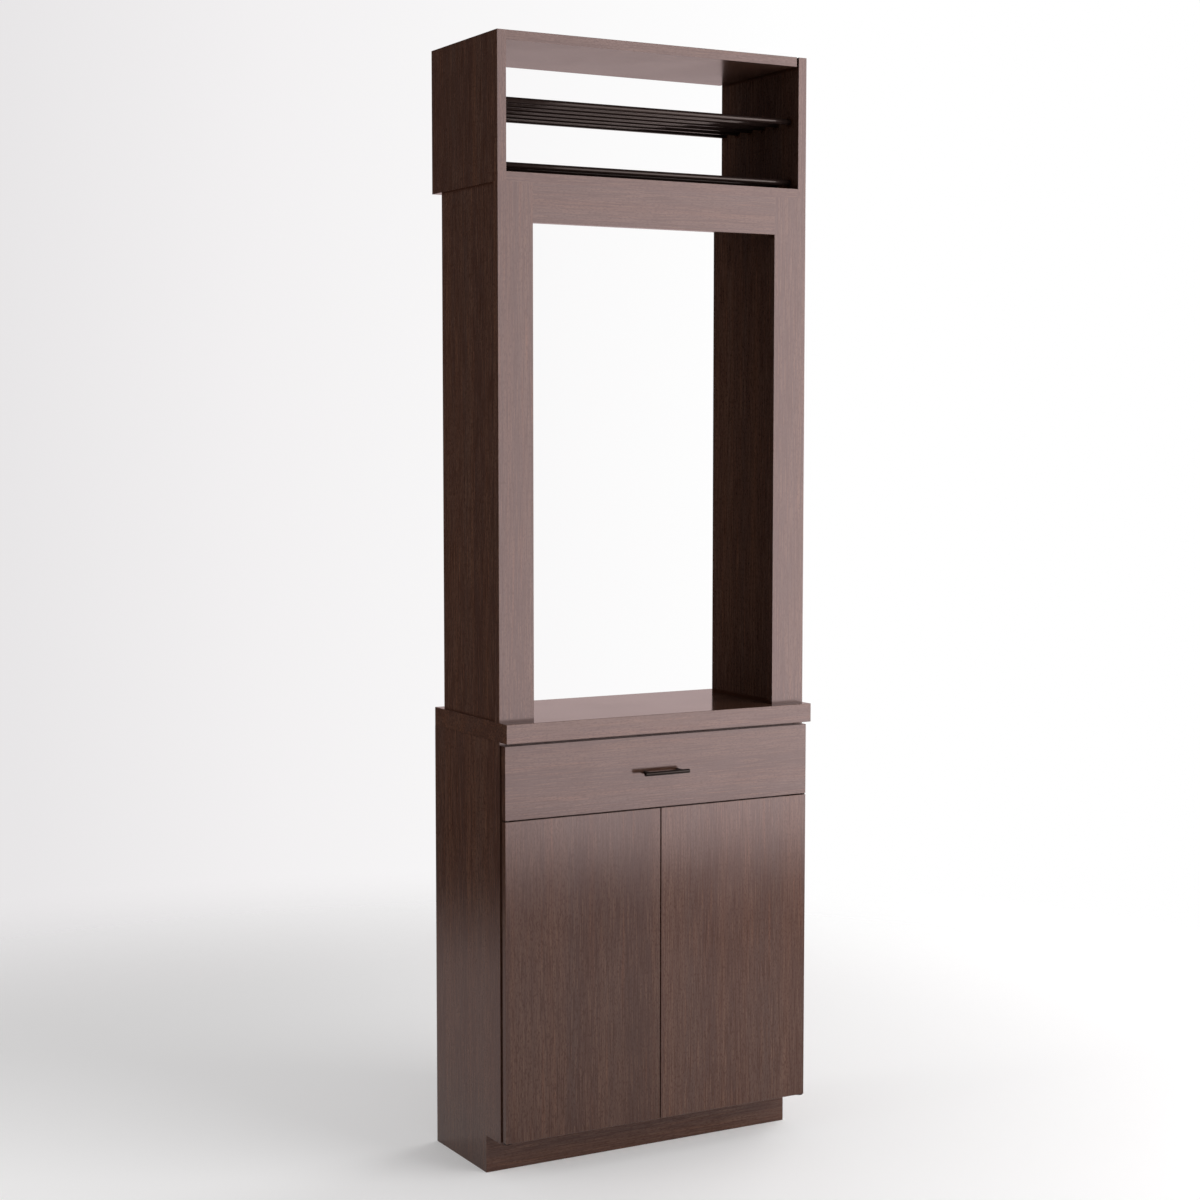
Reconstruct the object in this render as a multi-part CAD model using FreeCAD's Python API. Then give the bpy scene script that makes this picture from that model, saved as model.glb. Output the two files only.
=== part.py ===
import FreeCAD, Part
import os

from FreeCAD import Vector

# A bar unit for serving tastings: base cabinet, open hutch and a top box with rod racks.
# Lengths are millimetres. X runs to the right, Y to the back and Z up, from the floor.

# Overall sizes
unit_width = 711.2
counter_height = 914.4
counter_depth = 328.0
hutch_height = 1045.9
box_height = 286.2
board = 19.05
arris = 0.4
match = 0.01

# Countertop
counter_thickness = 38.1
counter_overhang = 13.2
counter_arris = 0.5

# Base cabinet
toe_height = 76.2
toe_setback = 64.25
rail_depth = 80.0
back_thickness = 6.0
back_groove = 9.0
groove_play = 0.3
front_thickness = 16.0
front_standoff = 2.55
front_side_inset = 3.0
drawer_front_height = 146.0
counter_gap = 6.5
drawer_door_gap = 2.6
door_centre_gap = 2.4
door_floor_lift = 3.5

# Adjustable shelf
shelf_height = 395.0
shelf_side_play = 1.0
shelf_front_setback = 22.0
pin_diameter = 5.0
pin_bore_depth = 10.0
pin_grip = 9.0
pin_plate_reach = 11.0
pin_plate_width = 10.0
pin_plate_thickness = 1.6
pin_cover = 0.4
pin_root = 3.0
pin_front_inset = 37.0
pin_rear_inset = 50.0
pin_pitch = 64.0
pin_rows = 1

# Drawer box
drawer_length = 254.0
drawer_height = 101.6
drawer_side = 12.7
drawer_lift = 8.5
drawer_bottom = 6.0
drawer_bottom_lift = 9.5
drawer_groove = 6.0
slide_space = 12.7
slide_play = 0.2

# Telescopic slides
slide_length = 250.0
slide_height = 45.0
slide_sheet = 1.2
slide_race = 3.2
slide_lip = 3.0
slide_web_gap = 0.6
cage_play = 0.35
cage_lead = 70.0
cage_length = 110.0

# Pull
pull_length = 103.0
pull_diameter = 8.5
pull_gap = 20.75
pull_centres = 76.2
pull_post_diameter = 7.0
pull_arris = 0.8

# Door pivots
pivot_side_inset = 5.5
pivot_depth = 8.5
pivot_pin_diameter = 5.0
pivot_pin_engagement = 11.0
pivot_running_play = 0.05
pivot_bush_wall = 1.75
pivot_bush_bottom_play = 1.0
pivot_leaf_thickness = 1.5
pivot_leaf_width = 14.0
pivot_leaf_clearance = 0.3

# Push latches
latch_offset = 24.0
latch_width = 11.0
latch_height = 13.0
latch_length = 58.0
latch_plunger_diameter = 6.0
latch_plunger_depth = 24.0
latch_running_play = 0.1
latch_travel = 2.0
latch_touch = 0.3
latch_flange = 3.0
latch_flange_thickness = 1.6
strike_side = 14.0
strike_thickness = 0.8

# Hutch frame
stile_width = 76.2
header_height = 76.2
post_depth = 256.5
post_width = 63.5
post_board = 12.7
post_reveal = 2.5
post_block_height = 38.0

# Top box and its rod racks
top_end_gap = 5.2
rod_diameter = 12.0
rod_count = 6
rod_pitch = 50.0
rod_first = 33.5
rod_seat_depth = 9.0
rod_end_play = 0.5
rod_seat_play = 0.1
lower_rod_lift = 15.8
tier_pitch = 124.3

# Loose tongues that join the boards' ends to the sides
tongue_thickness = 6.0
tongue_width = 20.0
tongue_setback = 25.0
tongue_play = 0.2

# Levels and planes worked out from the sizes above
half_width = unit_width / 2
inner_half = half_width - board
box_bottom_z = counter_height + hutch_height
top_z = box_bottom_z + box_height
counter_under = counter_height - counter_thickness
overall_depth = counter_depth - counter_overhang + pull_gap + pull_diameter
back_y = overall_depth / 2
counter_front = back_y - counter_depth
fronts_face = counter_front + counter_overhang
fronts_back = fronts_face + front_thickness
carcass_front = fronts_back + front_standoff
back_panel_front = back_y - back_thickness
drawer_front_top = counter_under - counter_gap
drawer_front_base = drawer_front_top - drawer_front_height
doors_top = drawer_front_base - drawer_door_gap
doors_base = toe_height + door_floor_lift
divider_top = (drawer_front_base + doors_top) / 2 + board / 2
divider_base = divider_top - board
drawer_base = divider_top + drawer_lift
drawer_top = drawer_base + drawer_height
drawer_half = inner_half - slide_space - slide_play
slide_axis_z = drawer_base + drawer_height / 2
pull_axis_y = fronts_face - pull_gap - pull_diameter / 2
pull_axis_z = drawer_front_base + drawer_front_height / 2
post_back = carcass_front + post_depth
stile_back = carcass_front + board
pivot_x = half_width - front_side_inset - pivot_side_inset
pivot_y = fronts_back - pivot_depth


def block(low, high):
    """Rectangular board between two opposite corners."""
    size = [high[axis] - low[axis] for axis in range(3)]
    return Part.makeBox(size[0], size[1], size[2], Vector(*low))


def rod(start, end, diameter):
    """Round bar between two points."""
    run = Vector(*end) - Vector(*start)
    return Part.makeCylinder(diameter / 2, run.Length, Vector(*start), run)


def ease(solid, size, along, places):
    """Chamfer the straight edges that run along one axis at the given places.

    Each place is a dictionary of coordinates, such as {"y": front}. An edge is
    taken where its middle lies on any one of the places.
    """
    chosen = []
    for edge in solid.Edges:
        if edge.Curve.TypeId != "Part::GeomLine":
            continue
        if abs(abs(edge.tangentAt(edge.FirstParameter).dot(along)) - 1) > match:
            continue
        middle = edge.CenterOfMass
        for place in places:
            if all(abs(getattr(middle, axis) - value) < match for axis, value in place.items()):
                chosen.append(edge)
                break
    return solid.makeChamfer(size, chosen)


def ease_all(solid, size):
    """Chamfer every straight edge of a slab."""
    return solid.makeChamfer(size, solid.Edges)


def mirrored(solid):
    """The same piece on the other side of the unit."""
    return solid.mirror(Vector(0, 0, 0), Vector(1, 0, 0))


def both_sides(solid):
    """A piece and its twin on the other side, as separate solids."""
    return Part.Compound([solid, mirrored(solid)])


X = Vector(1, 0, 0)
Y = Vector(0, 1, 0)
Z = Vector(0, 0, 1)


def cabinet_boards():
    """Each board between the cabinet's sides: (front, back, underside)."""
    rail_back = carcass_front + rail_depth
    return {
        "cabinet_floor": (carcass_front, back_panel_front, toe_height),
        "front_top_rail": (carcass_front, rail_back, counter_under - board),
        "rear_top_rail": (back_panel_front - rail_depth, back_panel_front, counter_under - board),
        "divider_rail": (carcass_front, rail_back, divider_base),
    }


def box_boards():
    """Each board between the top box's sides: (front, back, underside)."""
    return {
        "box_floor": (carcass_front, back_y, box_bottom_z),
        "box_top": (carcass_front, back_y, top_z - board),
    }


def tongue(place, play=0):
    """Loose tongue at a board's left end, or its groove if it is given its play."""
    front, back, underside = place
    reach = tongue_width / 2 + play
    middle = underside + board / 2
    return block((-inner_half - reach, front + tongue_setback, middle - tongue_thickness / 2),
                 (-inner_half + reach, back - tongue_setback, middle + tongue_thickness / 2))


def tongues(places):
    """All the loose tongues of a set of boards, at both ends."""
    left = [tongue(place) for place in places]
    return Part.Compound(left + [mirrored(solid) for solid in left])


def between_sides(place, end_gap=0):
    """Board between two sides, grooved at both ends for its tongues.

    Its right end stops short of the side by the end gap.
    """
    front, back, underside = place
    panel = block((-inner_half, front, underside), (inner_half - end_gap, back, underside + board))
    panel = ease(panel, arris, X, [{"y": front, "z": underside + board}])
    groove = tongue(place, tongue_play)
    return panel.cut([groove, mirrored(groove)])


def pin_rows_z():
    """Heights of the shelf-pin bores, the shelf standing on the middle row."""
    middle = (pin_rows - 1) / 2
    base = shelf_height - pin_cover - pin_diameter / 2
    return [base + (row - middle) * pin_pitch for row in range(pin_rows)]


def pin_columns_y():
    return [carcass_front + pin_front_inset, back_panel_front - pin_rear_inset]


def left_side_panel():
    """Side panel down to the floor, with the toe-kick notch and its bores."""
    toe_front = carcass_front + toe_setback
    corners = [
        (carcass_front, toe_height),
        (carcass_front, counter_under),
        (back_y, counter_under),
        (back_y, 0),
        (toe_front, 0),
        (toe_front, toe_height),
    ]
    points = [Vector(-half_width, y, z) for y, z in corners]
    panel = Part.Face(Part.makePolygon(points + points[:1])).extrude(X * board)
    panel = ease(panel, arris, Z, [{"x": -half_width, "y": carcass_front}])
    mitre = [(-half_width, toe_front), (-inner_half, toe_front), (-inner_half, toe_front + board)]
    points = [Vector(x, y, 0) for x, y in mitre]
    panel = panel.cut(Part.Face(Part.makePolygon(points + points[:1])).extrude(Z * toe_height))
    groove = block((-inner_half - back_groove, back_panel_front, 0), (-inner_half, back_y, counter_under))
    panel = panel.cut(groove)
    cuts = [tongue(place, tongue_play) for place in cabinet_boards().values()]
    for y in pin_columns_y():
        for z in pin_rows_z():
            cuts.append(rod((-inner_half - pin_bore_depth, y, z), (-inner_half, y, z), pin_diameter))
    return panel.cut(cuts)


def pivot_mortise(low_z, high_z):
    """Shallow seat for a pivot leaf in a board's front edge, on the left."""
    x0 = -inner_half
    return block((x0, carcass_front, low_z), (x0 + pivot_leaf_width, carcass_front + pivot_leaf_thickness, high_z))


def base_cabinet():
    left = left_side_panel()
    nodes = {
        "left_side_panel": left,
        "right_side_panel": mirrored(left),
    }
    for name, place in cabinet_boards().items():
        nodes[name] = between_sides(place)
    for name in ("cabinet_floor", "divider_rail"):
        nodes[name] = nodes[name].cut(pivot_seats())
    back_half = inner_half + back_groove - groove_play
    nodes["cabinet_back"] = block((-back_half, back_panel_front, groove_play), (back_half, back_y, counter_under))
    toe_front = carcass_front + toe_setback
    toe_back = toe_front + board
    toe_outline = [(-half_width, toe_front), (half_width, toe_front), (inner_half, toe_back), (-inner_half, toe_back)]
    points = [Vector(x, y, 0) for x, y in toe_outline]
    nodes["toe_kick_board"] = Part.Face(Part.makePolygon(points + points[:1])).extrude(Z * toe_height)
    nodes["cabinet_tongues"] = tongues(cabinet_boards().values())
    return nodes


def shelf_and_pins():
    """Loose shelf and the four pins that carry it."""
    half = inner_half - shelf_side_play
    front = carcass_front + shelf_front_setback
    shelf = block((-half, front, shelf_height), (half, back_panel_front - shelf_side_play, shelf_height + board))
    shelf = ease(shelf, arris, X, [{"y": front}])
    z = pin_rows_z()[pin_rows // 2]
    pins = []
    for y in pin_columns_y():
        peg = rod((-inner_half - pin_grip, y, z), (-inner_half + pin_root, y, z), pin_diameter)
        plate = block(
            (-inner_half, y - pin_plate_width / 2, shelf_height - pin_plate_thickness),
            (-inner_half + pin_plate_reach, y + pin_plate_width / 2, shelf_height))
        pins.append(peg.fuse(plate))
    return {"cabinet_shelf": shelf, "shelf_pins": Part.Compound(pins + [mirrored(pin) for pin in pins])}


def countertop():
    slab = block((-half_width, counter_front, counter_under), (half_width, back_y, counter_height))
    return ease_all(slab, counter_arris)


def hutch():
    """Stiles, header rail and the two boxed posts between countertop and box."""
    outer = -half_width
    stile = block((outer, carcass_front, counter_height), (outer + stile_width, stile_back, box_bottom_z))
    stile = ease(stile, arris, Z, [{"x": outer, "y": carcass_front}])
    header_low = box_bottom_z - header_height
    header = block((outer + stile_width, carcass_front, header_low), (-outer - stile_width, stile_back, box_bottom_z))
    header = ease(header, arris, X, [{"y": stile_back, "z": header_low}])
    skin_front = stile_back
    outer_skin = block(
        (outer + post_reveal, skin_front, counter_height),
        (outer + post_reveal + post_board, post_back, box_bottom_z))
    outer_skin = ease(outer_skin, arris, Z, [{"x": outer + post_reveal, "y": post_back}])
    inner_face = outer + post_width
    inner_skin = block((inner_face - post_board, skin_front, counter_height), (inner_face, post_back, box_bottom_z))
    inner_skin = ease(inner_skin, arris, Z, [{"x": inner_face, "y": post_back}])
    core_low = outer + post_reveal + post_board
    core_high = inner_face - post_board
    rear_front = post_back - post_board
    rear_strip = block((core_low, rear_front, counter_height), (core_high, post_back, box_bottom_z))
    blocks = []
    for low_z in (counter_height, box_bottom_z - post_block_height):
        blocks.append(block((core_low, skin_front, low_z), (core_high, rear_front, low_z + post_block_height)))
    return {
        "left_stile": stile,
        "right_stile": mirrored(stile),
        "header_rail": header,
        "left_post_outer_board": outer_skin,
        "right_post_outer_board": mirrored(outer_skin),
        "left_post_inner_board": inner_skin,
        "right_post_inner_board": mirrored(inner_skin),
        "post_rear_strips": both_sides(rear_strip),
        "post_end_blocks": Part.Compound(blocks + [mirrored(core) for core in blocks]),
    }


def rod_axes(tier):
    """Axis (y, z) of each rod of a tier; tier 0 is the lower one."""
    z = box_bottom_z + board + lower_rod_lift + tier * tier_pitch
    first = carcass_front + rod_first
    return [(first + index * rod_pitch, z) for index in range(rod_count)]


def top_box():
    """Open box on the hutch, with the blind seats of its rods."""
    side = block((-half_width, carcass_front, box_bottom_z), (-inner_half, back_y, top_z))
    side = ease(side, arris, Z, [{"x": -half_width, "y": carcass_front}, {"x": -half_width, "y": back_y}])
    seat_end = -inner_half - rod_seat_depth
    seats = []
    for tier in range(2):
        for y, z in rod_axes(tier):
            seats.append(rod((seat_end, y, z), (-inner_half, y, z), rod_diameter + 2 * rod_seat_play))
    side = side.cut(seats + [tongue(place, tongue_play) for place in box_boards().values()])
    reach = inner_half + rod_seat_depth - rod_end_play
    tiers = [[rod((-reach, y, z), (reach, y, z), rod_diameter) for y, z in rod_axes(tier)] for tier in range(2)]
    nodes = {
        "box_left_side": side,
        "box_right_side": mirrored(side),
    }
    end_gaps = {"box_floor": 0, "box_top": top_end_gap}
    for name, place in box_boards().items():
        nodes[name] = between_sides(place, end_gaps[name])
    nodes["box_tongues"] = tongues(box_boards().values())
    nodes["lower_rack_rods"] = Part.Compound(tiers[0])
    nodes["upper_rack_rods"] = Part.Compound(tiers[1])
    return nodes


def drawer():
    """Applied front on a grooved drawer box."""
    front_half = half_width - front_side_inset
    front = block((-front_half, fronts_face, drawer_front_base), (front_half, fronts_back, drawer_front_top))
    front = ease_all(front, arris)
    box_back = fronts_back + drawer_length
    inner = drawer_half - drawer_side
    groove_low = drawer_base + drawer_bottom_lift
    groove_reach = inner + drawer_groove
    groove = block(
        (-groove_reach, fronts_back + drawer_side - drawer_groove, groove_low),
        (groove_reach, box_back - drawer_side + drawer_groove, groove_low + drawer_bottom))
    side = block((-drawer_half, fronts_back, drawer_base), (-inner, box_back, drawer_top)).cut(groove)
    face = block((-inner, fronts_back, drawer_base), (inner, fronts_back + drawer_side, drawer_top)).cut(groove)
    rear = block((-inner, box_back - drawer_side, drawer_base), (inner, box_back, drawer_top)).cut(groove)
    bottom = block(
        (-groove_reach + groove_play, fronts_back + drawer_side - drawer_groove + groove_play, groove_low),
        (groove_reach - groove_play, box_back - drawer_side + drawer_groove - groove_play,
         groove_low + drawer_bottom))
    bar_ends = pull_length / 2
    bar = rod((-bar_ends, pull_axis_y, pull_axis_z), (bar_ends, pull_axis_y, pull_axis_z), pull_diameter)
    bar = bar.makeChamfer(pull_arris, [edge for edge in bar.Edges if edge.Closed])
    posts = []
    for x in (-pull_centres / 2, pull_centres / 2):
        stem = rod((x, fronts_face, pull_axis_z), (x, pull_axis_y, pull_axis_z), pull_post_diameter)
        posts.append(stem.cut(bar))
    return {
        "drawer_front": front,
        "drawer_inner_front": face,
        "drawer_left_side": side,
        "drawer_right_side": mirrored(side),
        "drawer_back": rear,
        "drawer_bottom": bottom,
        "pull_bar": bar,
        "pull_posts": Part.Compound(posts),
    }


def channel(x_web, x_lip, half_height, sheet, lip, y0, y1):
    """Rolled channel along Y: a web, two flanges and two lips turned inward."""
    toward = 1 if x_lip > x_web else -1
    inner = half_height - sheet
    shell = [
        (x_web, -half_height),
        (x_lip, -half_height),
        (x_lip, -half_height + lip),
        (x_lip - toward * sheet, -half_height + lip),
        (x_lip - toward * sheet, -inner),
        (x_web + toward * sheet, -inner),
    ]
    outline = shell + [(x, -z) for x, z in reversed(shell)]
    points = [Vector(x, y0, slide_axis_z + z) for x, z in outline]
    return Part.Face(Part.makePolygon(points + points[:1])).extrude(Y * (y1 - y0))


def slides():
    """Three-member ball slides on the left, with the ball cages between the members."""
    y0 = carcass_front
    y1 = carcass_front + slide_length
    wall = -inner_half
    face = wall + slide_space
    outer_half = slide_height / 2
    middle_half = outer_half - slide_sheet - slide_race
    inner_race_half = middle_half - slide_sheet
    drawer_member_half = inner_race_half - slide_race
    web = wall + slide_sheet + slide_web_gap
    outer_lip_end = face - slide_sheet - slide_web_gap - slide_sheet - slide_web_gap
    middle_lip_end = face - slide_sheet - slide_web_gap
    outer = channel(wall, outer_lip_end, outer_half, slide_sheet, slide_lip, y0, y1)
    middle = channel(web, middle_lip_end, middle_half, slide_sheet, slide_lip, y0, y1)
    inner_tip = web + slide_sheet + slide_web_gap
    inner = channel(face, inner_tip, drawer_member_half, slide_sheet, slide_sheet, y0, y1)
    cage_front = y0 + cage_lead
    cage_back = cage_front + cage_length
    outer_cages = []
    inner_cages = []
    for side in (-1, 1):
        race_a = sorted([side * (outer_half - slide_sheet - cage_play), side * (middle_half + cage_play)])
        race_b = sorted([side * (inner_race_half - cage_play), side * (drawer_member_half + cage_play)])
        x0 = web
        x1 = outer_lip_end - slide_sheet - cage_play
        outer_cages.append(block(
            (x0, cage_front, slide_axis_z + race_a[0]), (x1, cage_back, slide_axis_z + race_a[1])))
        x0 = inner_tip
        x1 = middle_lip_end - slide_sheet - cage_play
        inner_cages.append(block(
            (x0, cage_front, slide_axis_z + race_b[0]), (x1, cage_back, slide_axis_z + race_b[1])))
    return {
        "slide_cabinet_members": both_sides(outer),
        "slide_middle_members": both_sides(middle),
        "slide_drawer_members": both_sides(inner),
        "slide_outer_ball_cages": Part.Compound(outer_cages + [mirrored(cage) for cage in outer_cages]),
        "slide_inner_ball_cages": Part.Compound(inner_cages + [mirrored(cage) for cage in inner_cages]),
    }


def pivot_tongue_levels():
    """Height range of the tongue above the door and of the one below it."""
    above = doors_top + (drawer_door_gap - pivot_leaf_thickness) / 2
    below = doors_base - (drawer_door_gap - pivot_leaf_thickness) / 2 - pivot_leaf_thickness
    return [(above, above + pivot_leaf_thickness), (below, below + pivot_leaf_thickness)]


def pivot_leaf_levels():
    """Height range of the screwed leaf of the upper and of the lower bracket."""
    upper, lower = pivot_tongue_levels()
    return [(divider_base, upper[1]), (lower[0], toe_height + board)]


def pivot_seats():
    """Seats of the four pivot leaves."""
    seats = [pivot_mortise(low, high) for low, high in pivot_leaf_levels()]
    return seats + [mirrored(seat) for seat in seats]


def door_pivots():
    """Angled brackets with their pins, and the bushes in the door's ends, on the left."""
    x, y = -pivot_x, pivot_y
    brackets = []
    bushes = []
    leaf_x0 = -inner_half
    leaf_x1 = leaf_x0 + pivot_leaf_width
    leaf_front = carcass_front - pivot_leaf_clearance
    leaf_back = carcass_front + pivot_leaf_thickness
    eye = pivot_leaf_width / 2
    for into, face, tongue_z, leaf_z in zip((-1, 1), (doors_top, doors_base), pivot_tongue_levels(),
                                            pivot_leaf_levels()):
        low, high = tongue_z
        leaf = block((leaf_x0, carcass_front, leaf_z[0]), (leaf_x1, leaf_back, leaf_z[1]))
        arm_points = [
            (x, y - eye),
            (leaf_x1, y - eye + (leaf_x1 - x) / 2),
            (leaf_x1, leaf_back),
            (leaf_x0, leaf_back),
            (leaf_x0, leaf_front),
            (x, leaf_front),
        ]
        points = [Vector(px, py, low) for px, py in arm_points]
        arm = Part.Face(Part.makePolygon(points + points[:1])).extrude(Z * (high - low))
        round_end = rod((x, y, low), (x, y, high), 2 * eye)
        keep = block((-half_width + front_side_inset, y - eye, low), (leaf_x1, leaf_front, high))
        arm_plate = arm.fuse(round_end.common(keep))
        pin_end = face + into * pivot_pin_engagement
        pin = rod((x, y, (low + high) / 2), (x, y, pin_end), pivot_pin_diameter)
        brackets.append(leaf.fuse([arm_plate, pin]).removeSplitter())
        bore_diameter = pivot_pin_diameter + 2 * pivot_running_play
        sleeve_diameter = bore_diameter + 2 * pivot_bush_wall
        bush_end = pin_end + into * pivot_bush_bottom_play
        sleeve = rod((x, y, face), (x, y, bush_end), sleeve_diameter)
        bore = rod((x, y, face), (x, y, bush_end), bore_diameter)
        bushes.append((sleeve, sleeve.cut(bore)))
    return brackets, bushes


def latch_x(side):
    """Middle of a push latch, beside the centre gap."""
    return side * latch_offset


def doors():
    """Two slab doors on end pivots, with their bushes and strike plates."""
    door_edge = half_width - front_side_inset
    brackets, bushes = door_pivots()
    door = block((-door_edge, fronts_face, doors_base), (-door_centre_gap / 2, fronts_back, doors_top))
    door = ease_all(door, arris)
    strike_x = latch_x(-1)
    strike_z = divider_base - latch_height / 2
    strike = block((strike_x - strike_side / 2, fronts_back - strike_thickness, strike_z - strike_side / 2),
                   (strike_x + strike_side / 2, fronts_back, strike_z + strike_side / 2))
    door = door.cut([seat for seat, bush in bushes] + [strike])
    rings = [bush for seat, bush in bushes]
    return {
        "left_door": door,
        "right_door": mirrored(door),
        "left_pivot_bushes": Part.Compound(rings),
        "right_pivot_bushes": Part.Compound([mirrored(ring) for ring in rings]),
        "left_strike_plate": strike,
        "right_strike_plate": mirrored(strike),
        "pivot_brackets": Part.Compound(brackets + [mirrored(solid) for solid in brackets]),
    }


def push_latches():
    """Latch housings under the divider rail and their plungers behind the doors."""
    x = latch_x(-1)
    z = divider_base - latch_height / 2
    nose = fronts_back + latch_touch
    body_front = carcass_front + latch_flange_thickness
    body = block((x - latch_width / 2, body_front, divider_base - latch_height),
                 (x + latch_width / 2, body_front + latch_length, divider_base))
    flange = block((x - latch_width / 2 - latch_flange, carcass_front, divider_base - latch_height),
                   (x + latch_width / 2 + latch_flange, body_front, divider_base))
    shaft_end = nose + latch_plunger_depth
    well_end = shaft_end + latch_travel + latch_touch
    well = rod((x, carcass_front, z), (x, well_end, z), latch_plunger_diameter + 2 * latch_running_play)
    housing = body.fuse(flange).cut(well)
    plunger = rod((x, nose, z), (x, shaft_end, z), latch_plunger_diameter)
    return {
        "latch_housings": both_sides(housing),
        "left_latch_plunger": plunger,
        "right_latch_plunger": mirrored(plunger),
    }


def all_nodes():
    nodes = {}
    for group in (base_cabinet(), shelf_and_pins(), {"countertop": countertop()}, hutch(), top_box(),
                  drawer(), slides(), doors(), push_latches()):
        nodes.update(group)
    return nodes


os.makedirs("parts", exist_ok=True)
for name, shape in all_nodes().items():
    solids = shape.Solids
    print(name, "solids", len(solids), "valid", all(solid.isValid() for solid in solids))
    result = solids[0] if len(solids) == 1 else Part.Compound(solids)
    result.exportStep("parts/" + name + ".step")
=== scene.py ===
"""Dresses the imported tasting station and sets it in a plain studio.

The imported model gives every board, rod and fitting its place. This script gives each
of them its finish, adds the turned and fastened details, and builds the studio.
Lengths are metres in the model's own frame: X to the right, Y to the back, Z up.
"""

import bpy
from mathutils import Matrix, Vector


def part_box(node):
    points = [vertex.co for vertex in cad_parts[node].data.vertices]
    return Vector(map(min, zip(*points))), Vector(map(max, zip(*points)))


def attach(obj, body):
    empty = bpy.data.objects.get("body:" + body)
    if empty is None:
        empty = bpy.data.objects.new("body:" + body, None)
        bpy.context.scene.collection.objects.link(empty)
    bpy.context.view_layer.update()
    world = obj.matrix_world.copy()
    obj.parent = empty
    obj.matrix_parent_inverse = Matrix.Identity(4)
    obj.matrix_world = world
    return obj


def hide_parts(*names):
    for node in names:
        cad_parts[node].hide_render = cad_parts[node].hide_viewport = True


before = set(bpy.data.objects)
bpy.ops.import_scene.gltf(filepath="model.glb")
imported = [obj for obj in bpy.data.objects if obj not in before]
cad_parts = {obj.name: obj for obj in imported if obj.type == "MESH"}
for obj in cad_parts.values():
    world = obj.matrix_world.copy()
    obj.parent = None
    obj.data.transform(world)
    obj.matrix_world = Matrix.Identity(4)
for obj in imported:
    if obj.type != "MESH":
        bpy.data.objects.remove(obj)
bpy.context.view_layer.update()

import logging
import math
from dataclasses import dataclass, field
from enum import Enum

import bpy
import numpy as np
from numpy.typing import NDArray

LOG = logging.getLogger("tasting_station")
MM = 0.001
FULL_TURN = 2.0 * math.pi
BOTH_SIDES = (-1, 1)

Colour = tuple[float, float, float]
Point = tuple[float, float, float]
Stops = tuple[tuple[float, Colour], ...]
Array = NDArray[np.float64]
Rows = NDArray[np.int64]
Socket = bpy.types.NodeSocket
Material = bpy.types.Material


class Grain(Enum):
    """The way the wood's fibres run in a board, as an index of the model's axes."""

    ACROSS = 0
    DEEP = 1
    UPRIGHT = 2


class Axis(Enum):
    """An axis of the model."""

    X = 0
    Y = 1
    Z = 2


class Stain(Enum):
    """The colours that the wood takes from its espresso stain."""

    GROUND = (0.085, 0.0400, 0.0255)
    SHADE = (0.054, 0.0273, 0.0205)
    LIGHT = (0.113, 0.060, 0.040)
    WARM = (0.127, 0.054, 0.030)
    COOL = (0.070, 0.0430, 0.0340)
    PORE = (0.037, 0.0130, 0.0066)
    # Eased edges turn to this lighter colour, partly as rubbed wear and partly as a painted
    # highlight.
    WORN_AND_HIGHLIT = (0.120, 0.068, 0.048)

    def taken(self, tone: float) -> Colour:
        """The colour as light or dark as the board took the stain."""
        return tuple(tone * part for part in self.value)


@dataclass(frozen=True)
class Span:
    """A change from start to end as a value goes from low to high, level outside that."""

    low: float
    high: float
    start: float = 0.0
    end: float = 1.0

    def raised(self, level: float) -> "Span":
        """The same change about another level."""
        return Span(self.low, self.high, level + self.start, level + self.end)


# ---- Node trees


class Nodes:
    """A node tree, with one short method for each kind of step."""

    def __init__(self, tree: bpy.types.NodeTree) -> None:
        """Takes a tree in hand.

        Args:
            tree: The tree of a material, a world or a lamp.
        """
        self.tree = tree

    def node(self, kind: str, **settings: object) -> bpy.types.Node:
        """Adds a node.

        Args:
            kind: The node's type.
            settings: Properties to set on it.

        Returns:
            The new node.
        """
        made = self.tree.nodes.new(kind)
        for key, value in settings.items():
            setattr(made, key, value)
        return made

    def feed(self, socket: Socket, value: object) -> None:
        """Links an output to a socket, or sets the socket's own value.

        Args:
            socket: The input to fill.
            value: Another node's output, a number or vector, or a colour, which gets full cover.
        """
        if isinstance(value, Socket):
            self.tree.links.new(value, socket)
        elif socket.type == "RGBA":
            socket.default_value = (*value, 1.0)
        else:
            socket.default_value = value

    def parts(self, vector: Socket) -> list[Socket]:
        """Takes a vector apart.

        Args:
            vector: The vector.

        Returns:
            Its three parts.
        """
        made = self.node("ShaderNodeSeparateXYZ")
        self.feed(made.inputs[0], vector)
        return list(made.outputs)

    def math(self, operation: str, *values: object, clamp: bool = False) -> Socket:
        """One step of arithmetic.

        Args:
            operation: The Math node's operation.
            values: Its inputs, as outputs or numbers.
            clamp: Whether the result is kept between 0 and 1.

        Returns:
            The result's socket.
        """
        made = self.node("ShaderNodeMath", operation=operation, use_clamp=clamp)
        for socket, value in zip(made.inputs, values):
            self.feed(socket, value)
        return made.outputs[0]

    def span(self, value: Socket, span: Span, kind: str = "SMOOTHSTEP") -> Socket:
        """Maps a value by a span.

        Args:
            value: The input.
            span: The change that it goes through.
            kind: How the change runs, smooth or LINEAR.

        Returns:
            The result's socket.
        """
        made = self.node("ShaderNodeMapRange", interpolation_type=kind)
        for index, item in enumerate((value, span.low, span.high, span.start, span.end)):
            self.feed(made.inputs[index], item)
        return made.outputs[0]

    def mix(self, share: Socket, first: object, second: object, mode: str = "MIX") -> Socket:
        """Mixes two colours.

        Args:
            share: How much of the second colour.
            first: The first colour.
            second: The second colour.
            mode: The way the two are blended.

        Returns:
            The mixed colour's socket.
        """
        made = self.node("ShaderNodeMix", data_type="RGBA", blend_type=mode)
        self.feed(made.inputs[0], share)
        self.feed(made.inputs[6], first)
        self.feed(made.inputs[7], second)
        return made.outputs[2]


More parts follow.
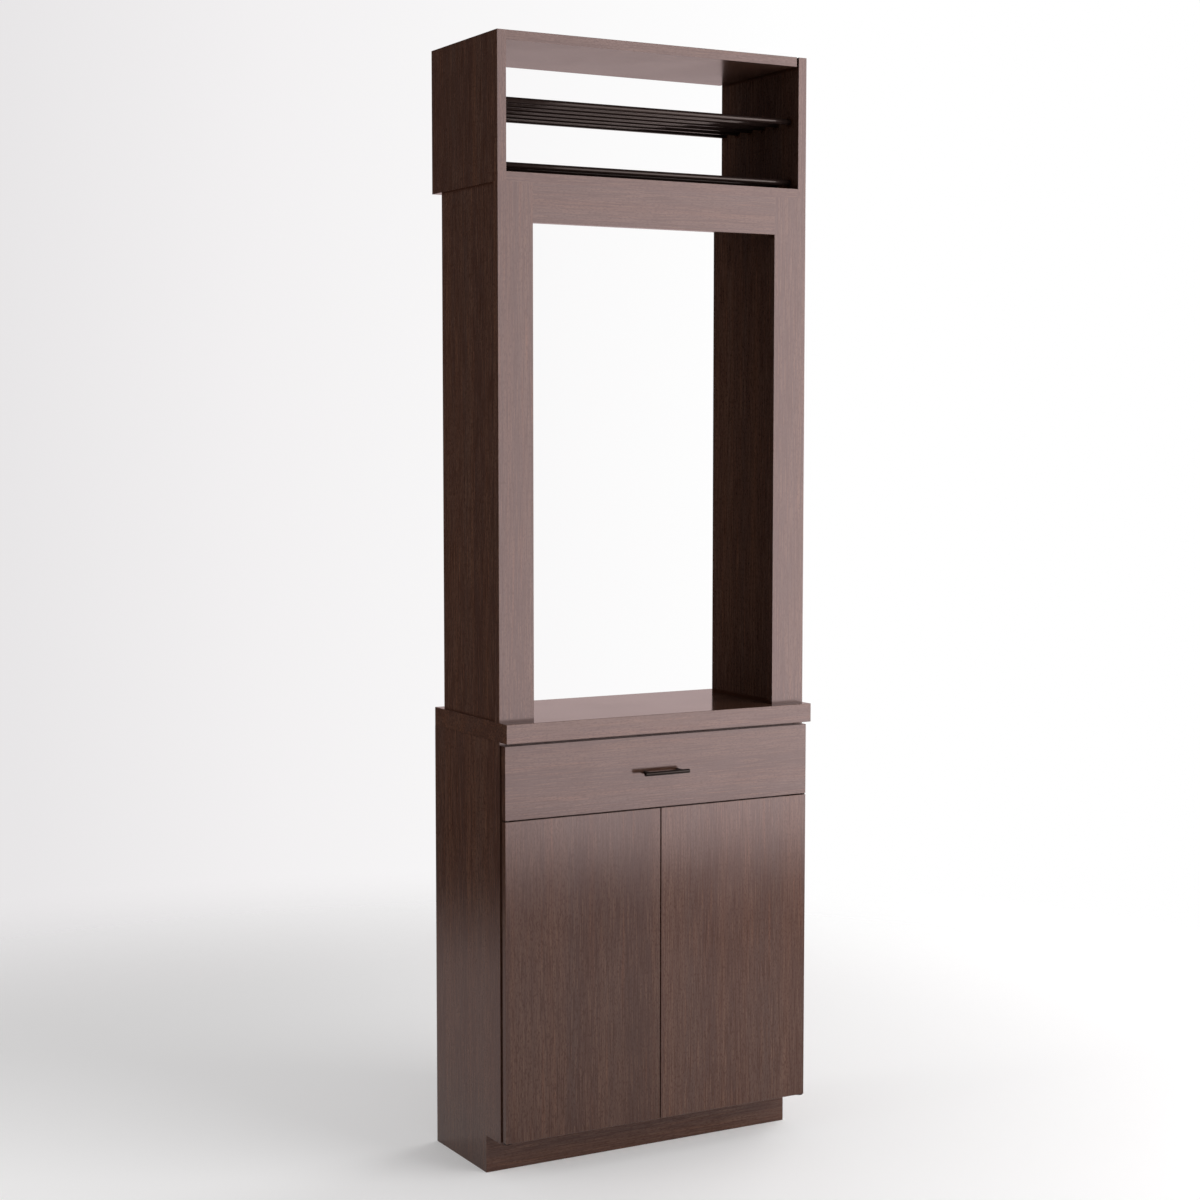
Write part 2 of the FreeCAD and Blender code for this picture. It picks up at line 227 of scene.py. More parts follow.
class Sheet(Nodes):
    """A material's node tree about one Principled surface."""

    def __init__(self, name: str) -> None:
        """Starts a material.

        Args:
            name: The material's name.
        """
        self.material = bpy.data.materials.new(name)
        self.material.use_nodes = True
        super().__init__(self.material.node_tree)
        self.surface = self.tree.nodes["Principled BSDF"]
        coordinates = self.node("ShaderNodeTexCoord")
        self.place = coordinates.outputs["Object"]
        self.facing = coordinates.outputs["Normal"]

    def give(self, name: str, value: object) -> None:
        """Feeds one of the surface's own inputs, by its name."""
        self.feed(self.surface.inputs[name], value)

    def moved(self, shift: Point) -> Socket:
        """The place on the piece, moved so that no two boards look alike.

        Args:
            shift: The board's own shift.

        Returns:
            The moved place's socket.
        """
        made = self.node("ShaderNodeMapping")
        self.feed(made.inputs["Vector"], self.place)
        made.inputs["Location"].default_value = shift
        return made.outputs[0]

    def stretched(self, vector: Socket, axis: int, factor: float) -> Socket:
        """Scales a place along one axis.

        Args:
            vector: The place.
            axis: The axis's index.
            factor: The scale along it.

        Returns:
            The scaled place's socket.
        """
        factors = [1.0, 1.0, 1.0]
        factors[axis] = factor
        made = self.node("ShaderNodeVectorMath", operation="MULTIPLY")
        self.feed(made.inputs[0], vector)
        self.feed(made.inputs[1], tuple(factors))
        return made.outputs[0]

    def noise(self, vector: Socket, per_metre: float, detail: float = 2.0,
              rough: float = 0.5) -> Socket:
        """Smooth noise between 0 and 1.

        Args:
            vector: Where it is read.
            per_metre: Features in a metre.
            detail: Octaves.
            rough: How strong each finer octave is.

        Returns:
            The noise value's socket.
        """
        made = self.node("ShaderNodeTexNoise")
        self.feed(made.inputs["Vector"], vector)
        self.feed(made.inputs["Scale"], per_metre)
        self.feed(made.inputs["Detail"], detail)
        self.feed(made.inputs["Roughness"], rough)
        return made.outputs[0]

    def arris(self) -> Socket:
        """1 on faces that lean between two axes, such as an eased edge, and 0 on flat faces.

        The sum of the products of the normal's parts, two at a time, is 0 on a flat
        face and a half on an edge eased at 45 degrees.

        Returns:
            The mask's socket.
        """
        sides = [self.math("ABSOLUTE", part) for part in self.parts(self.facing)]
        pairs = [self.math("MULTIPLY", sides[i], sides[(i + 1) % 3]) for i in range(3)]
        total = self.math("ADD", self.math("ADD", pairs[0], pairs[1]), pairs[2])
        return self.math("MULTIPLY", total, 2.0, clamp=True)

    def crowding(self, reach: float) -> Socket:
        """How much of the space over the surface is taken up by others, from 0 in the open.

        Args:
            reach: How far off another surface still counts, in metres.

        Returns:
            The share's socket.
        """
        made = self.node("ShaderNodeAmbientOcclusion", samples=8)
        self.feed(made.inputs["Distance"], reach)
        return self.math("SUBTRACT", 1.0, made.outputs["AO"], clamp=True)

    def bump(self, height: Socket, depth: float, strength: float = 0.5) -> None:
        """Gives the surface a relief.

        Args:
            height: The relief between 0 and 1.
            depth: Its depth in metres.
            strength: How much of it shows.
        """
        made = self.node("ShaderNodeBump")
        self.feed(made.inputs["Strength"], strength)
        self.feed(made.inputs["Distance"], depth)
        self.feed(made.inputs["Height"], height)
        self.give("Normal", made.outputs[0])


# ---- Finishes


@dataclass(frozen=True)
class Layer:
    """One layer of a veneer's figure: a noise drawn out along the fibres, and its stain.

    per_metre counts its features across the fibres, shortening says how much sparser
    they are along them, and cover turns the noise into how much the stain covers.
    """

    stain: Stain
    per_metre: float
    shortening: float
    cover: Span

    def noise(self, sheet: Sheet, place: Socket) -> Socket:
        """The layer's noise over a place whose last axis follows the fibres."""
        return sheet.noise(sheet.stretched(place, 2, self.shortening), self.per_metre, detail=1.0)


@dataclass(frozen=True)
class Veneer:
    """Espresso-stained, straight-grained veneer under a semi-gloss lacquer."""

    figure: tuple[Layer, ...] = (
        Layer(Stain.GROUND, 26.0, 0.016, Span(0.36, 0.62)),
        Layer(Stain.COOL, 24.0, 0.014, Span(0.46, 0.60, 0.0, 0.42)),
        Layer(Stain.SHADE, 24.0, 0.014, Span(0.39, 0.47, 0.62, 0.0)),
        Layer(Stain.SHADE, 75.0, 0.018, Span(0.46, 0.70, 0.0, 0.66)),
        Layer(Stain.SHADE, 190.0, 0.022, Span(0.44, 0.72, 0.0, 0.40)),
        Layer(Stain.LIGHT, 480.0, 0.026, Span(0.48, 0.72, 0.0, 0.66)),
        Layer(Stain.WARM, 152.0, 0.030, Span(0.60, 0.78, 0.0, 0.48)),
    )
    lines: Layer = Layer(Stain.PORE, 400.0, 0.030, Span(0.46, 0.72, 0.0, 0.70))
    ticks: Layer = Layer(Stain.PORE, 480.0, 0.30, Span(0.48, 0.70, 0.0, 0.70))
    pores: Layer = Layer(Stain.PORE, 1200.0, 0.06, Span(0.56, 0.70))
    pore_cover: float = 0.72
    # Eased edges turn lighter by these, partly as rubbed wear and partly as a painted highlight.
    edge_variation_per_metre: float = 55.0
    wear_and_highlight: Span = Span(0.42, 0.66, 0.15, 0.6)
    gloss_tint: Colour = (1.0, 0.80, 0.80)
    polish_per_metre: float = 7.0
    polish: Span = Span(0.3, 0.7, -0.015, 0.02)
    line_roughness: float = 0.02
    worn_roughness: float = 0.18
    line_relief: float = 0.5
    relief: float = 0.012 * MM
    relief_strength: float = 0.6
    wander_per_metre: float = 2.4
    wander: float = 5.0 * MM
    # Painted shade: how far off another surface counts, and how strongly the colour darkens in
    # inner corners and seams.
    corner_reach: float = 9.0 * MM
    corner_shade: float = 0.0

    def dress(self, name: str, grain: Grain, shift: Point, tone: float, sheen: float) -> Material:
        """Builds the veneer for one board.

        Bands, cooler and darker zones, streaks, pale threads and warm flecks lie over
        each other on the shaded wood. Dark lines, ticks and pores come on top, each
        finer than the last. Eased edges turn lighter, partly as rubbed wear and partly
        as a painted highlight. Where corner_shade is above nought, a painted shade
        darkens inner corners and seams.

        Args:
            name: The material's name.
            grain: The way the fibres run.
            shift: The board's own place in the veneer.
            tone: How light this board took the stain, where 1 is the usual.
            sheen: The roughness of its lacquer.

        Returns:
            The material.
        """
        sheet = Sheet(name)
        place = self._along_fibres(sheet, grain, shift)
        colour: object = Stain.SHADE.taken(tone)
        for layer in self.figure:
            share = sheet.span(layer.noise(sheet, place), layer.cover)
            colour = sheet.mix(share, colour, layer.stain.taken(tone))
        line = self.lines.noise(sheet, place)
        colour = sheet.mix(sheet.span(line, self.lines.cover), colour, self.lines.stain.taken(tone))
        tick = sheet.span(self.ticks.noise(sheet, place), self.ticks.cover)
        colour = sheet.mix(tick, colour, self.ticks.stain.taken(tone))
        pores = sheet.span(self.pores.noise(sheet, place), self.pores.cover)
        dark = self.pores.stain.taken(tone)
        colour = sheet.mix(sheet.math("MULTIPLY", pores, self.pore_cover), colour, dark)
        # Eased edges turn lighter, partly as rubbed wear and partly as a painted highlight where
        # edges catch light.
        edge_variation = sheet.noise(place, self.edge_variation_per_metre, rough=0.6)
        worn_and_highlit = sheet.math("MULTIPLY", sheet.arris(), sheet.span(edge_variation, self.wear_and_highlight))
        colour = sheet.mix(worn_and_highlit, colour, Stain.WORN_AND_HIGHLIT.taken(tone))
        # Painted shade: the colour darkens towards the pores' colour where other surfaces crowd
        # close, in inner corners and seams.
        if self.corner_shade > 0.0:
            crowded = sheet.crowding(self.corner_reach)
            stained = sheet.math("MULTIPLY", crowded, self.corner_shade, clamp=True)
            colour = sheet.mix(stained, colour, dark)
        sheet.give("Base Color", colour)

        polish = sheet.noise(place, self.polish_per_metre, detail=3.0, rough=0.55)
        rough = sheet.span(polish, self.polish.raised(sheen))
        rough = sheet.math("ADD", rough, sheet.math("MULTIPLY", line, self.line_roughness))
        rough = sheet.math("ADD", rough, sheet.math("MULTIPLY", worn_and_highlit, self.worn_roughness))
        sheet.give("Roughness", rough)
        sheet.give("Specular Tint", self.gloss_tint)
        height = sheet.math("SUBTRACT", sheet.math("MULTIPLY", line, self.line_relief), pores)
        sheet.bump(height, self.relief, self.relief_strength)
        return sheet.material

    def _along_fibres(self, sheet: Sheet, grain: Grain, shift: Point) -> Socket:
        """The board's place in the veneer, with the fibres along the last axis.

        The lines across the fibres wander by a millimetre or two with a long noise, so
        that the grain isn't ruled.

        Args:
            sheet: The node tree.
            grain: The way the fibres run.
            shift: The board's own place in the veneer.

        Returns:
            The place's socket.
        """
        moved = sheet.moved(shift)
        parts = sheet.parts(moved)
        noise = sheet.noise(moved, self.wander_per_metre, detail=1.0)
        sway = sheet.math("MULTIPLY", sheet.math("SUBTRACT", noise, 0.5), self.wander)
        joined = sheet.node("ShaderNodeCombineXYZ")
        across = [part for axis, part in enumerate(parts) if axis != grain.value]
        for socket, part in zip(joined.inputs, across):
            sheet.feed(socket, sheet.math("ADD", part, sway))
        sheet.feed(joined.inputs[2], parts[grain.value])
        return joined.outputs[0]


@dataclass(frozen=True)
class Plywood:
    """Clear-finished birch plywood, with its plies showing on the edges."""

    face: Colour = (0.56, 0.40, 0.245)
    late: Colour = (0.44, 0.29, 0.165)
    cross: Colour = (0.30, 0.185, 0.10)
    shortening: float = 0.06
    figure_per_metre: float = 42.0
    figure: Span = Span(0.35, 0.68)
    lines_per_metre: float = 520.0
    lines: Span = Span(0.45, 0.8, 0.0, 0.35)
    ply: float = 1.4 * MM
    plies: Span = Span(-0.35, 0.35)
    ply_cover: float = 0.8
    polish: Span = Span(0.2, 0.8, 0.36, 0.48)
    relief: float = 0.02 * MM

    def dress(self, name: str, grain: Grain, thick: Axis, shift: Point) -> Material:
        """Builds the plywood for one board.

        On the edges, a sine through the thickness tells the plies apart.

        Args:
            name: The material's name.
            grain: The way the face fibres run.
            thick: The axis through the board's thickness.
            shift: The board's own place in the sheet.

        Returns:
            The material.
        """
        sheet = Sheet(name)
        fibres = sheet.stretched(sheet.moved(shift), grain.value, self.shortening)
        figure = sheet.noise(fibres, self.figure_per_metre, detail=3.0, rough=0.55)
        line = sheet.noise(fibres, self.lines_per_metre, rough=0.6)
        colour = sheet.mix(sheet.span(figure, self.figure), self.face, self.late)
        colour = sheet.mix(sheet.span(line, self.lines), colour, self.late)
        depth = sheet.parts(sheet.place)[thick.value]
        wave = sheet.math("SINE", sheet.math("MULTIPLY", depth, math.pi / self.ply))
        flat = sheet.math("ABSOLUTE", sheet.parts(sheet.facing)[thick.value])
        edge = sheet.math("SUBTRACT", 1.0, flat, clamp=True)
        plies = sheet.math("MULTIPLY", sheet.span(wave, self.plies), edge)
        colour = sheet.mix(sheet.math("MULTIPLY", plies, self.ply_cover), colour, self.cross)
        sheet.give("Base Color", colour)
        sheet.give("Roughness", sheet.span(line, self.polish))
        sheet.bump(line, self.relief)
        return sheet.material


@dataclass(frozen=True)
class Enamel:
    """Baked dark bronze enamel on metal, with a faint orange-peel relief."""

    ground: Colour = (0.0070, 0.0042, 0.0036)
    lighter: Colour = (0.0130, 0.0078, 0.0064)
    cloud_per_metre: float = 160.0
    cloud: Span = Span(0.4, 0.75, 0.0, 0.6)
    gloss_tint: Colour = (1.0, 0.82, 0.76)
    gloss: float = 0.155
    sheen: float = 0.14
    polish: Span = Span(0.3, 0.7, -0.04, 0.06)
    peel_per_metre: float = 1400.0
    relief: float = 0.004 * MM

    def dress(self, name: str) -> Material:
        """Builds the enamel.

        Args:
            name: The material's name.

        Returns:
            The material.
        """
        sheet = Sheet(name)
        cloud = sheet.noise(sheet.place, self.cloud_per_metre, detail=3.0, rough=0.6)
        peel = sheet.noise(sheet.place, self.peel_per_metre)
        share = sheet.span(cloud, self.cloud)
        sheet.give("Base Color", sheet.mix(share, self.ground, self.lighter))
        sheet.give("Roughness", sheet.span(cloud, self.polish.raised(self.sheen)))
        sheet.give("Specular IOR Level", self.gloss)
        sheet.give("Specular Tint", self.gloss_tint)
        sheet.bump(peel, self.relief)
        return sheet.material


@dataclass(frozen=True)
class Plating:
    """Bright zinc plating on rolled or turned steel, drawn along one axis."""

    ground: Colour = (0.60, 0.61, 0.63)
    darker: Colour = (0.40, 0.41, 0.44)
    spangle_per_metre: float = 240.0
    spangle: Span = Span(0.35, 0.7, 0.0, 0.5)
    shortening: float = 0.03
    lines_per_metre: float = 1800.0
    sheen: float = 0.30
    polish: Span = Span(0.3, 0.7, -0.06, 0.10)
    relief: float = 0.01 * MM
    relief_strength: float = 0.4

    def dress(self, name: str, drawn: Axis) -> Material:
        """Builds the plating.

        Args:
            name: The material's name.
            drawn: The axis along which the metal was drawn.

        Returns:
            The material.
        """
        sheet = Sheet(name)
        along = sheet.stretched(sheet.place, drawn.value, self.shortening)
        lines = sheet.noise(along, self.lines_per_metre, rough=0.6)
        spangle = sheet.noise(sheet.place, self.spangle_per_metre, rough=0.6)
        share = sheet.span(spangle, self.spangle)
        sheet.give("Base Color", sheet.mix(share, self.ground, self.darker))
        sheet.give("Roughness", sheet.span(lines, self.polish.raised(self.sheen)))
        sheet.give("Metallic", 1.0)
        sheet.bump(lines, self.relief, self.relief_strength)
        return sheet.material


@dataclass(frozen=True)
class Moulding:
    """Moulded plastic with a fine spark-eroded texture."""

    ground: Colour
    lighter: Colour
    cloud_per_metre: float = 90.0
    cloud: Span = Span(0.35, 0.7, 0.0, 0.7)
    texture_per_metre: float = 2600.0
    polish: Span = Span(0.3, 0.7, 0.42, 0.54)
    relief: float = 0.02 * MM

    def dress(self, name: str) -> Material:
        """Builds the plastic.

        Args:
            name: The material's name.

        Returns:
            The material.
        """
        sheet = Sheet(name)
        texture = sheet.noise(sheet.place, self.texture_per_metre, rough=0.6)
        share = sheet.span(sheet.noise(sheet.place, self.cloud_per_metre), self.cloud)
        sheet.give("Base Color", sheet.mix(share, self.ground, self.lighter))
        sheet.give("Roughness", sheet.span(texture, self.polish))
        sheet.bump(texture, self.relief)
        return sheet.material


GREY_MOULDING = Moulding((0.035, 0.036, 0.040), (0.055, 0.056, 0.060))
WHITE_MOULDING = Moulding((0.66, 0.66, 0.63), (0.74, 0.74, 0.72))


# ---- Surfaces worked out as arrays


@dataclass
class Surface:
    """A mesh held as arrays, which other surfaces can be joined to."""

    points: Array = field(default_factory=lambda: np.zeros((0, 3)))
    quads: Rows = field(default_factory=lambda: np.zeros((0, 4), dtype=np.int64))
    triangles: Rows = field(default_factory=lambda: np.zeros((0, 3), dtype=np.int64))

    def join(self, other: "Surface") -> "Surface":
        """Both surfaces as one.

        Args:
            other: The surface to add.

        Returns:
            The joined surface.
        """
        count = len(self.points)
        return Surface(
            np.vstack([self.points, other.points]),
            np.vstack([self.quads, other.quads + count]),
            np.vstack([self.triangles, other.triangles + count]),
        )

    def to_object(self, name: str, material: Material, crease: float = 35.0) -> bpy.types.Object:
        """Makes the Blender object, smooth except across sharp creases.

        Args:
            name: The object's name.
            material: Its finish.
            crease: The angle in degrees past which an edge stays sharp.

        Returns:
            The linked object.
        """
        mesh = bpy.data.meshes.new(name)
        faces = [*self.quads.tolist(), *self.triangles.tolist()]
        mesh.from_pydata(self.points.tolist(), [], faces)
        mesh.update()
        mesh.shade_smooth()
        mesh.set_sharp_from_angle(angle=math.radians(crease))
        mesh.materials.append(material)
        made = bpy.data.objects.new(name, mesh)
        bpy.context.scene.collection.objects.link(made)
        return made


def joined(surfaces: list[Surface]) -> Surface:
    """The surfaces of a list as one.

    Args:
        surfaces: The surfaces, in order.

    Returns:
        The joined surface.
    """
    whole = Surface()
    for surface in surfaces:
        whole = whole.join(surface)
    return whole


def ring_points(rows: Array, along: Axis, segments: int) -> Array:
    """Rings of points about an axis.

    Each point is s * axis + r * (cos t * u + sin t * v), for the rows' (s, r) pairs
    and t round the full turn, ring by ring.

    Args:
        rows: Rows of (place along the axis, radius).
        along: The axis.
        segments: Points in a ring.

    Returns:
        The points.
    """
    order = [along.value, (along.value + 1) % 3, (along.value + 2) % 3]
    turn = np.linspace(0.0, FULL_TURN, segments, endpoint=False)
    points = np.zeros((len(rows) * segments, 3))
    points[:, order[0]] = np.repeat(rows[:, 0], segments)
    points[:, order[1]] = (rows[:, 1, None] * np.cos(turn)).ravel()
    points[:, order[2]] = (rows[:, 1, None] * np.sin(turn)).ravel()
    return points


def ring_faces(rings: int, segments: int) -> Rows:
    """The four-sided faces between each ring of points and the next.

    Args:
        rings: How many rings there are.
        segments: Points in a ring.

    Returns:
        Rows of four point numbers.
    """
    ring, step = np.meshgrid(np.arange(rings - 1), np.arange(segments), indexing="ij")
    here = (ring * segments + step).ravel()
    beside = (ring * segments + (step + 1) % segments).ravel()
    return np.stack([here, beside, beside + segments, here + segments], axis=1)


def fan_faces(first: int, segments: int, pole: int) -> Rows:
    """The triangles between a ring of points and a pole.

    Args:
        first: The number of the ring's first point.
        segments: Points in the ring.
        pole: The pole's number.

    Returns:
        Rows of three point numbers.
    """
    around = np.arange(segments)
    after = (around + 1) % segments
    return np.stack([first + around, first + after, np.full(segments, pole)], axis=1)


def turned(profile: Array, start: Point, along: Axis, segments: int = 48) -> Surface:
    """A closed turning: a profile carried round an axis.

    The rings of the profile's points are joined one to the next, and both ends close
    on the axis with a fan.

    Args:
        profile: Rows of (place along the axis, radius), in order.
        start: The axis's origin.
        along: The axis that the turning lies along.
        segments: Steps round the axis.

    Returns:
        The turned surface, with its faces outwards.
    """
    rings = len(profile)
    ends = np.zeros((2, 3))
    ends[:, along.value] = profile[[0, -1], 0]
    points = np.vstack([ring_points(profile, along, segments), ends])
    quads = ring_faces(rings, segments)
    low_pole = rings * segments
    low_fan = fan_faces(0, segments, low_pole)[:, [1, 0, 2]]
    high_fan = fan_faces(low_pole - segments, segments, low_pole + 1)
    fans = np.vstack([low_fan, high_fan])
    if profile[-1, 0] < profile[0, 0]:
        quads = quads[:, ::-1]
        fans = fans[:, ::-1]
    return Surface(points + np.array(start), quads, fans)


def bar_profile(low: float, high: float, radius: float, easing: float, steps: int = 5) -> Array:
    """Profile of a round bar whose ends are eased by a quarter circle.

    Args:
        low: Where the bar starts.
        high: Where it ends.
        radius: Its radius.
        easing: The quarter circle's radius.
        steps: Steps in each quarter circle.

    Returns:
        Rows of (place, radius).
    """
    turn = np.linspace(0.0, math.pi / 2, steps)
    inwards = easing * (1 - np.cos(turn))
    radii = radius - easing * (1 - np.sin(turn))
    start = np.stack([low + inwards, radii], axis=1)
    end = np.stack([high - inwards, radii], axis=1)[::-1]
    return np.vstack([start, end])


@dataclass(frozen=True)
class ScrewHead:
    """A domed screw head with a cross recess.

    The share fields are parts of the radius: the foot, which the dome overhangs, the
    recess's half width and its reach, and the hub, where the grid ends.
    """

    radius: float
    rise: float
    crown: float = 0.8
    foot_share: float = 0.96
    hub_share: float = 0.05
    recess_share: float = 1.0 / 7.0
    recess_reach_share: float = 0.6
    rings: int = 12
    segments: int = 32

    def seated(self, seat: Point, facing: Axis, outwards: float) -> Surface:
        """The head in its place, on a grid of radius and turn.

        The head's height is rise * sqrt(1 - (crown * r / radius)^2). Where the smaller
        of the two distances from the head's own cross lines is under the recess's half
        width, and the larger is under its reach, the surface drops by half the rise.

        Args:
            seat: The point of the seat on the screw's axis.
            facing: The axis that the screw lies along.
            outwards: 1 or -1, the way along that axis in which the head stands out.

        Returns:
            The closed head.
        """
        reach = np.linspace(1.0, self.hub_share, self.rings)
        dome = self.rise * np.sqrt(1.0 - (self.crown * reach) ** 2)
        foot = [0.0, self.foot_share * self.radius]
        profile = np.vstack([foot, np.stack([dome, reach * self.radius], axis=1)])
        profile[:, 0] *= outwards
        head = turned(profile, (0.0, 0.0, 0.0), facing, self.segments)
        across = np.sort(np.abs(np.delete(head.points, facing.value, axis=1)), axis=1) / self.radius
        inside = (across[:, 0] < self.recess_share) & (across[:, 1] < self.recess_reach_share)
        inside &= np.abs(head.points[:, facing.value]) > self.rise / 2
        head.points[inside, facing.value] -= outwards * self.rise / 2
        return Surface(head.points + np.array(seat), head.quads, head.triangles)


# ---- Sub-assemblies


def dress_node(node: str, material: Material) -> None:
    """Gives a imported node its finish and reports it.

    Args:
        node: The node's name.
        material: The finish.
    """
    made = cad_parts[node]
    if not made.material_slots:
        made.data.materials.append(material)
    for place in made.material_slots:
        place.material = material
    LOG.info("dressed %s with %s", node, material.name)


@dataclass
class VeneeredBoards:
    """Every veneered board, each with its own stretch of veneer.

    The countertop and the boards above it never part from their neighbours, so there
    a painted shade darkens their inner corners and seams. Below it, the painted shade
    would show when a door opens.
    """

    veneer: Veneer = Veneer()
    # This veneer darkens its inner corners and seams with painted shade.
    upper_veneer: Veneer = Veneer(corner_shade=6.5)
    upright: tuple[str, ...] = (
        "left_side_panel", "right_side_panel", "cabinet_back", "left_stile", "right_stile",
        "left_post_outer_board", "right_post_outer_board", "left_post_inner_board",
        "right_post_inner_board", "post_rear_strips", "box_left_side", "box_right_side",
        "left_door", "right_door",
    )
    level: tuple[str, ...] = (
        "cabinet_floor", "front_top_rail", "rear_top_rail", "divider_rail", "toe_kick_board",
        "cabinet_shelf", "header_rail", "box_floor", "box_top", "drawer_front", "countertop",
    )
    sheet_step: Point = (0.37, 0.53, 1.9)
    tones: dict[str, float] = field(default_factory=lambda: {
        "left_door": 0.83, "drawer_front": 0.90, "box_left_side": 0.96, "header_rail": 0.98,
        "right_door": 1.02, "left_post_outer_board": 0.95,
    })
    usual_sheen: float = 0.160
    sheens: dict[str, float] = field(default_factory=lambda: {"countertop": 0.115, "box_top": 0.20})

    def build(self) -> None:
        """Dresses the boards, upright ones first."""
        boards = [(node, Grain.UPRIGHT) for node in self.upright]
        boards += [(node, Grain.ACROSS) for node in self.level]
        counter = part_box("countertop")[0][2]
        for count, (node, grain) in enumerate(boards, start=1):
            shift = tuple(step * count for step in self.sheet_step)
            tone = self.tones.get(node, 1.0)
            sheen = self.sheens.get(node, self.usual_sheen)
            veneer = self.upper_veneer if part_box(node)[0][2] >= counter else self.veneer
            dress_node(node, veneer.dress(f"veneer_{node}", grain, shift, tone, sheen))


@dataclass
class DrawerBox:
    """The plywood drawer box and the blocks and tongues of the same plywood."""

    plywood: Plywood = Plywood()
    sheet_step: Point = (0.31, 0.47, 0.29)
    boards: tuple[tuple[str, Grain, Axis], ...] = (
        ("drawer_inner_front", Grain.ACROSS, Axis.Y),
        ("drawer_left_side", Grain.DEEP, Axis.X),
        ("drawer_right_side", Grain.DEEP, Axis.X),
        ("drawer_back", Grain.ACROSS, Axis.Y),
        ("drawer_bottom", Grain.ACROSS, Axis.Z),
        ("post_end_blocks", Grain.DEEP, Axis.Z),
        ("cabinet_tongues", Grain.DEEP, Axis.Z),
        ("box_tongues", Grain.DEEP, Axis.Z),
    )

    def build(self) -> None:
        """Dresses the boards of the drawer and the hidden blocks."""
        for count, (node, grain, thick) in enumerate(self.boards):
            shift = tuple(step * count for step in self.sheet_step)
            dress_node(node, self.plywood.dress(f"plywood_{node}", grain, thick, shift))


@dataclass
class Pull:
    """The bar pull: a turned bar on two turned posts."""

    enamel: Enamel = Enamel()
    end_easing: float = 0.9 * MM
    bar_segments: int = 64
    collar: float = 0.5 * MM
    collar_steps: int = 3

    def build(self) -> None:
        """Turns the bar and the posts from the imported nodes' own sizes."""
        finish = self.enamel.dress("bronze_enamel_pull")
        low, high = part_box("pull_bar")
        radius = (high[2] - low[2]) / 2
        centre = (0.0, (low[1] + high[1]) / 2, (low[2] + high[2]) / 2)
        profile = bar_profile(low[0], high[0], radius, self.end_easing)
        bar = turned(profile, centre, Axis.X, self.bar_segments)
        piece = bar.to_object("pull_bar_turned", finish)
        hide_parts("pull_bar")
        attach(piece, "drawer")
        low_post, high_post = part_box("pull_posts")
        post_radius = (high_post[2] - low_post[2]) / 2
        foot = centre[1] + radius / 2
        profile = bar_profile(foot, high_post[1], post_radius, self.collar, self.collar_steps)
        posts = joined([turned(profile, (x, 0.0, centre[2]), Axis.Y)
                        for x in (low_post[0] + post_radius, high_post[0] - post_radius)])
        piece = posts.to_object("pull_posts_turned", finish)
        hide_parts("pull_posts")
        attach(piece, "drawer")
        LOG.info("turned the pull")


@dataclass
class RodRacks:
    """The two tiers of round rods in the top box."""

    # The rods' enamel is the pull's bronze enamel painted lighter, standing in for the light that
    # reaches the rods in the box.
    enamel: Enamel = Enamel(
        ground=(0.0130, 0.0076, 0.0066), lighter=(0.0200, 0.0120, 0.0100), gloss=0.26)
    tiers: tuple[str, ...] = ("lower_rack_rods", "upper_rack_rods")
    rods: int = 6
    end_easing: float = 0.6 * MM
    easing_steps: int = 3

    def build(self) -> None:
        """Turns each tier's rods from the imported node's own sizes."""
        finish = self.enamel.dress("bronze_enamel_rods_painted_lighter")
        for tier in self.tiers:
            low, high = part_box(tier)
            radius = (high[2] - low[2]) / 2
            profile = bar_profile(low[0], high[0], radius, self.end_easing, self.easing_steps)
            rack = joined([turned(profile, (0.0, float(y), low[2] + radius), Axis.X)
                           for y in np.linspace(low[1] + radius, high[1] - radius, self.rods)])
            piece = rack.to_object(f"{tier}_turned", finish)
            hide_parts(tier)
            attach(piece, "cabinet")
            LOG.info("turned %s", tier)


@dataclass
class Fittings:
    """Slides, pivots, latches and pins."""

    plating: Plating = Plating()
    enamel: Enamel = Enamel()
    grey: Moulding = GREY_MOULDING
    white: Moulding = WHITE_MOULDING

    def build(self) -> None:
        """Dresses the metal and plastic fittings, each group in one finish."""
        groups = (
            (self.plating.dress("zinc_drawn", Axis.Y),
             ("slide_cabinet_members", "slide_middle_members", "slide_drawer_members")),
            (self.plating.dress("zinc_pressed", Axis.X),
             ("shelf_pins", "left_strike_plate", "right_strike_plate")),
            (self.enamel.dress("bronze_enamel_pivots"),
             ("pivot_brackets", "left_pivot_bushes", "right_pivot_bushes")),
            (self.grey.dress("grey_moulding"),
             ("latch_housings", "left_latch_plunger", "right_latch_plunger")),
            (self.white.dress("white_moulding"),
             ("slide_outer_ball_cages", "slide_inner_ball_cages")),
        )
        for finish, nodes in groups:
            for node in nodes:
                dress_node(node, finish)


